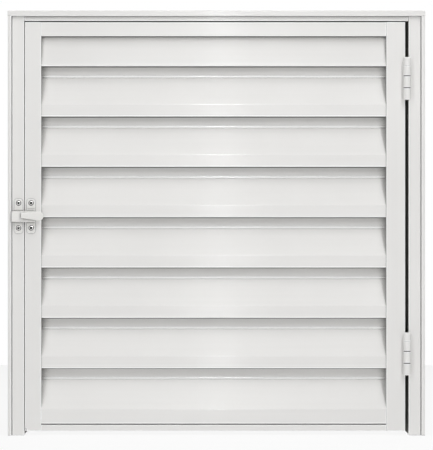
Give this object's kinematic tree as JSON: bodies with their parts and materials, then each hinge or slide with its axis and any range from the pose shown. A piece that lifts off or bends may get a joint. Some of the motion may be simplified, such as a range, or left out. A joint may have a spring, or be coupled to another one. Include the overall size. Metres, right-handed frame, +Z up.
{
  "type": "louvered door",
  "caption": "Access door of fixed louvre slats, hinged in its own three-sided metal frame, with a sliding surface latch and holes for fixing it in a wall opening.",
  "frame": {"origin": "middle of the overall box in X and Y, level with the jambs' feet", "axes": "+X to the right as seen from the front, +Y from the front to the back, +Z up"},
  "size_m": [0.59, 0.0494, 0.6],
  "materials": {
    "white_extrusion": "satin white powder coat",
    "white_slats": "satin white powder coat",
    "white_hinges": "satin white powder coat",
    "white_casting": "gloss white enamel",
    "black_seal": "matt foam rubber",
    "black_nylon": "moulded nylon",
    "steel_screws": "zinc plated",
    "bright_steel": "bright drawn"
  },
  "bodies": {
    "frame": {"frame_head": "white_extrusion", "left_jamb": "white_extrusion", "right_jamb": "white_extrusion", "corner_screws": "steel_screws", "left_seal": "black_seal", "right_seal": "black_seal", "head_seal": "black_seal", "latch_keeper": "white_casting", "keeper_screws": "steel_screws", "upper_hinge_frame_leaf": "white_hinges", "upper_hinge_pin": "bright_steel", "upper_hinge_cap": "white_hinges", "upper_hinge_frame_screws": "steel_screws", "lower_hinge_frame_leaf": "white_hinges", "lower_hinge_pin": "bright_steel", "lower_hinge_cap": "white_hinges", "lower_hinge_frame_screws": "steel_screws"},
    "door": {"latch_stile": "white_extrusion", "hinge_stile": "white_extrusion", "top_rail": "white_extrusion", "bottom_rail": "white_extrusion", "rail_screws": "steel_screws", "louvre_slat_1": "white_slats", "louvre_slat_2": "white_slats", "louvre_slat_3": "white_slats", "louvre_slat_4": "white_slats", "louvre_slat_5": "white_slats", "louvre_slat_6": "white_slats", "louvre_slat_7": "white_slats", "louvre_slat_8": "white_slats", "upper_hinge_door_leaf": "white_hinges", "upper_hinge_top_bush": "black_nylon", "upper_hinge_bottom_bush": "black_nylon", "upper_hinge_door_screws": "steel_screws", "lower_hinge_door_leaf": "white_hinges", "lower_hinge_top_bush": "black_nylon", "lower_hinge_bottom_bush": "black_nylon", "lower_hinge_door_screws": "steel_screws", "latch_body": "white_casting", "bolt_spring": "bright_steel", "latch_screws": "steel_screws"},
    "latch": {"bolt": "bright_steel", "thumb_grip": "white_casting"}
  },
  "joints": [
    {"name": "door_swing", "type": "hinge", "parent": "frame", "child": "door", "pos_m": [0.2691, -0.01595, 0.3], "axis": [0, 0, 1], "range_deg": [0, 170]},
    {"name": "bolt_slide", "type": "slide", "parent": "door", "child": "latch", "axis": [-1, 0, 0], "range_m": [0, 0.009]}
  ]
}
